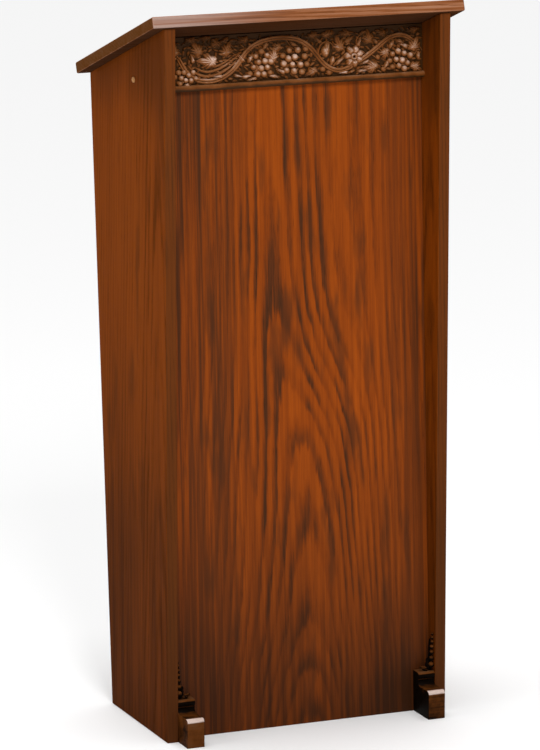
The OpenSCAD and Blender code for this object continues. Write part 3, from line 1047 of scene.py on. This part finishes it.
# %% Flower
FLOWER = (107, 40)
PETALS = 7
PETAL_OUT = 11
EYE_RING = 3.9 * MM
EYE_ROLL = 1.9 * MM
EYE_UP = 9.6
for step in range(PETALS):
    turn = 360 / PETALS * step + 20
    place = (
        FLOWER[0] + PETAL_OUT * math.cos(math.radians(turn)),
        FLOWER[1] + PETAL_OUT * math.sin(math.radians(turn)),
    )
    leaf(place, 8.5, 7.5, turn, 7.2, OVAL_LOBES, 0.85, 0)
deselect()
bpy.ops.mesh.primitive_torus_add(
    major_segments=28, minor_segments=10, major_radius=EYE_RING, minor_radius=EYE_ROLL,
    location=(FLOWER[0] * MM, FLOWER[1] * MM, EYE_UP * MM),
)
carving.append(settle(bpy.context.object))
print("flower at", FLOWER)

# %% [markdown]
# ### Joining and tipping the carving
#
# Before the flat carving is tipped up against the leaning panel, every point's height is
# kept in an attribute. The material reads it to make the hollows black, partly old wax and
# dust and partly painted shade, and the high points pale, partly rubbed wood and partly a
# painted highlight.

# %% Join, mark the heights and tip into place
BEAD_SHADE = 0.30
pick(*carving)
bpy.ops.object.join()
frieze = bpy.context.object
frieze.name = "carved_frieze_oak"
for vertex in frieze.data.vertices:
    vertex.co.y = min(vertex.co.y, FRIEZE_TALL)
    vertex.co.x = max(-FRIEZE_LONG / 2, min(vertex.co.x, FRIEZE_LONG / 2))
    vertex.co.z = min(vertex.co.z, RELIEF)
mark = frieze.data.attributes.new("relief", "FLOAT", "POINT")
for vertex, value in zip(frieze.data.vertices, mark.data):
    value.value = (vertex.co.z - GROUND) / (RELIEF - GROUND)
    if vertex.co.y < 2 * BEAD:
        value.value = min(value.value, BEAD_SHADE)
smooth(frieze, 50)
foot_line = corner("carved_frieze", (0, 1, -1))
upward = Vector((0, math.sin(LEAN), math.cos(LEAN)))
outward = Vector((0, -math.cos(LEAN), math.sin(LEAN)))
tip = Matrix.Identity(4)
tip.col[0] = (1, 0, 0, 0)
tip.col[1] = (*upward, 0)
tip.col[2] = (*outward, 0)
tip.col[3] = (0, foot_line.y, foot_line.z, 1)
frieze.data.transform(tip)
print("frieze", len(frieze.data.polygons), "faces, foot at", round(foot_line.z, 4))

# %% Carved oak
CARVED_FIBRE = (300, 300, 14)
HANDLED_PATCH = (45, 45, 45)
CHISEL = (260, 260, 160)
DESK_SHADOW = 0.12


def carved_oak(name, hollow, stained, handled, rubbed_and_highlight, shine=0.09, desk_shadow=None):
    """Oak that is black in the hollows, partly old wax and partly painted shade, and pale on
    the high points, partly worn wood and partly a painted highlight. The last argument is the
    height where the painted shadow under the desk starts and where it is full."""
    mix = Recipe(name)
    place = mix.places(GRAIN["frieze"])
    relief = mix.attribute("relief")
    fibre = mix.noise(place, CARVED_FIBRE, 3.0, 0.6)
    patch = mix.noise(place, HANDLED_PATCH, 3.0, 0.6)
    chisel = mix.noise(place, CHISEL, 2.0)
    # Painted light from above: what faces upwards is lightened as a painted highlight, and what
    # faces down is darkened as painted shade
    level = mix.total(
        relief,
        -0.10,
        mix.around(patch, 0.6),
        mix.around(fibre, 0.35),
        mix.times(mix.facing(2), 0.45),
    )
    # Painted shadow of the desk: the carving darkens towards its top, under the desk's edge
    if desk_shadow:
        height_up = mix.split(mix.places())[2]
        level = mix.math("SUBTRACT", level, mix.fade(height_up, *desk_shadow, 0.0, DESK_SHADOW))
    colour = mix.ramp(level, (0.04, hollow), (0.34, stained), (0.66, handled), (1.0, rubbed_and_highlight))
    mix.feed(mix.shader.inputs["Base Color"], colour)
    mix.feed(mix.shader.inputs["Roughness"], mix.fade(level, 0.2, 0.8, 0.5, 0.26))
    height = mix.total(mix.times(fibre, 0.4), chisel)
    mix.feed(mix.shader.inputs["Normal"], mix.bump(height, 0.7 * MM, 0.6))
    mix.shader.inputs["Specular IOR Level"].default_value = shine
    return mix.material


carving_oak = carved_oak(
    "carving_oak", (0.046, 0.017, 0.0035), (0.185, 0.053, 0.009), (0.300, 0.124, 0.046),
    (0.760, 0.530, 0.420), desk_shadow=(frieze_low.z + 0.045, frieze_high.z),
)
toe_oak = carved_oak(
    "toe_oak", (0.004, 0.0018, 0.0008), (0.112, 0.033, 0.006), (0.125, 0.056, 0.024),
    (0.620, 0.480, 0.420), shine=0.02,
)
hand_over(frieze, carving_oak, "carved_frieze")
print("frieze handed over")

# %% [markdown]
# ## The toes
#
# A stepped block stands inside each side board at the floor and reaches out in front.
# Its low step ends in a wide round nose, made bright partly as wear and partly as a painted
# highlight, and its high step in a small roll above a hollow. Each block could be cut from
# its CAD node, but the nose and the hollow are the whole charm of it, so its outline is
# drawn again with true arcs, extruded across the toe's width and eased. A carved drop of
# beads climbs the corner above it.

# %% The outline of a toe, seen from the side
toe_low, toe_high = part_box("toe_block_right")
board_front = corner("side_board_right", (0, -1, -1)).y
panel_foot = corner("front_panel", (0, -1, -1)).y - board_front
TOE_HIGH = toe_high.z
TOE_LOW_STEP = 48 * MM
TOE_NOSE = 6.5 * MM
TOE_ROLL = 6 * MM
TOE_HOLLOW = 4.0 * MM
TOE_WIDE = toe_high.x - toe_low.x
TOE_ARRIS = 1.3 * MM
toe_reach = toe_low.y - board_front


def arc(middle, radius, start, end, steps):
    """Points on an arc from one angle to another, in degrees."""
    turns = [math.radians(start + (end - start) * i / steps) for i in range(steps + 1)]
    return [(middle[0] + radius * math.cos(t), middle[1] + radius * math.sin(t)) for t in turns]


hollow_middle = (-1.5 * MM, (TOE_LOW_STEP + TOE_HIGH - 2 * TOE_ROLL) / 2 + 2 * MM)
toe_outline = [(toe_reach, 0), (panel_foot, 0)]
toe_outline += [(panel_foot + math.tan(LEAN) * TOE_HIGH, TOE_HIGH)]
toe_outline += arc((TOE_ROLL, TOE_HIGH - TOE_ROLL), TOE_ROLL, 90, 235, 8)
toe_outline += arc(hollow_middle, TOE_HOLLOW, 60, -35, 6)
FILLET = [(0.6, 2.2), (-1.5, 0.8), (-4.0, 0.0)]
toe_outline += [(y * MM, TOE_LOW_STEP + z * MM) for y, z in FILLET]
toe_outline += [(toe_reach + TOE_NOSE + 4 * MM, TOE_LOW_STEP)]
toe_outline += arc((toe_reach + TOE_NOSE, TOE_LOW_STEP - TOE_NOSE), TOE_NOSE, 90, 180, 8)
print("toe outline points", len(toe_outline))

# %% Toe blocks with their carving
# Height and radius of each bead of the drop, in millimetres
DROP = [(80, 5.2), (91, 4.6), (101, 4.2), (110.5, 3.8), (119, 3.3), (126.5, 2.9), (133, 2.4)]
# How dark each part of a toe is, from 0, the hollow tone, to 1, the palest tone. The low
# step's top is darkened as painted shade, the nose lightened partly as wear and partly as a
# painted highlight, and the right toe is set darker than the left
TOE_SHADE = {"toe_block_right": 0.32, "toe_block_left": 0.50}
TOP_SHADE = -0.20
NOSE_SHADE = 0.90
ROLL_SHADE = 0.12
INNER_SHADE = 0.0
OUTER_SHADE = 0.30
BEAD_DEPTH = -8 * MM


def toe_block(shade):
    """The right toe, drawn as a flat outline and pulled out across its width."""
    deselect()
    bpy.ops.mesh.primitive_circle_add(vertices=len(toe_outline), fill_type="NGON")
    piece = bpy.context.object
    for vertex, (y, z) in zip(piece.data.vertices, toe_outline):
        vertex.co = (toe_low.x, board_front + y, z)
    in_edit(piece)
    bpy.ops.mesh.extrude_region_move(
        TRANSFORM_OT_translate={"value": (TOE_WIDE, 0, 0)},
    )
    bpy.ops.mesh.select_all(action="SELECT")
    bpy.ops.mesh.normals_make_consistent(inside=False)
    out_of_edit()
    use(piece, "BEVEL", width=TOE_ARRIS, segments=2, limit_method="ANGLE",
        angle_limit=math.radians(50))
    mark = piece.data.attributes.new("relief", "FLOAT", "POINT")
    for vertex, value in zip(piece.data.vertices, mark.data):
        out = vertex.co.y - board_front
        up = vertex.co.z
        value.value = shade
        # Painted shade on the low step's top, and a painted highlight, partly wear, on the nose
        if up > TOE_LOW_STEP - 0.5 * MM:
            value.value = TOP_SHADE
        if out < toe_reach + TOE_NOSE + 1 * MM and up > TOE_LOW_STEP - 0.9 * TOE_NOSE:
            value.value = NOSE_SHADE
        if up > TOE_HIGH - 4 * MM:
            value.value = ROLL_SHADE
    for face in piece.data.polygons:
        if abs(face.normal.x) > 0.9:
            for index in face.vertices:
                mark.data[index].value = INNER_SHADE if face.normal.x < 0 else OUTER_SHADE
    return piece


def toe_carving():
    """Leaves and beads, made flat and then stood up against the toe and the corner."""
    pieces = []
    middle = (toe_low.x + toe_high.x) / 2 / MM
    # The long low leaf at the back sits deepest and comes out near black: a painted shadow behind
    # the drop
    leaf((middle + 10, 84), 40, 6, 90, 1.0, OVAL_LOBES, 0.5, 0, -11.5 * MM, pieces)
    leaf((middle + 7, 79), 13, 8, 100, 3.0, OVAL_LOBES, 0.62, 0, -10 * MM, pieces)
    leaf((middle, 74), 10, 6, 160, 3.0, OVAL_LOBES, 0.62, 0, -9 * MM, pieces)
    for height, radius in DROP:
        deselect()
        bpy.ops.mesh.primitive_ico_sphere_add(subdivisions=3, radius=radius * MM)
        bead = bpy.context.object
        bead.location = (toe_high.x - 0.8 * radius * MM, height * MM, BEAD_DEPTH)
        pieces.append(settle(bead))
    pick(*pieces)
    bpy.ops.object.join()
    piece = bpy.context.object
    # Painted shade: the deeper a point of the toe's carving sits, the darker it is
    mark = piece.data.attributes.new("relief", "FLOAT", "POINT")
    for vertex, value in zip(piece.data.vertices, mark.data):
        value.value = 0.05 * (vertex.co.z - BEAD_DEPTH) / MM - 0.05
    upright = Matrix.Rotation(QUARTER, 4, "X")
    upright.translation = (0, board_front, 0)
    piece.data.transform(upright)
    return piece


for side, node in ((1, "toe_block_right"), (-1, "toe_block_left")):
    block = toe_block(TOE_SHADE[node])
    carved = toe_carving()
    pick(block, carved)
    bpy.ops.object.join()
    block.name = node + "_oak"
    if side < 0:
        block.data.transform(Matrix.Scale(-1, 4, (1, 0, 0)))
        in_edit(block)
        bpy.ops.mesh.flip_normals()
        out_of_edit()
    smooth(block, 40)
    hand_over(block, toe_oak, node)
    print(block.name, len(block.data.polygons), "faces")

# %% [markdown]
# ## What stays from CAD
#
# The screws, pins and dowels are small and mostly hidden. Their CAD shapes are
# already right, so they stay and only get their metal or wood.

# %% Metal and wood for the small parts
for name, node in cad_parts.items():
    if not node.hide_render:
        node.data.materials.clear()
        node.data.materials.append(cleat_oak if name == "rail_dowels" else steel.material)
        print("kept", name)
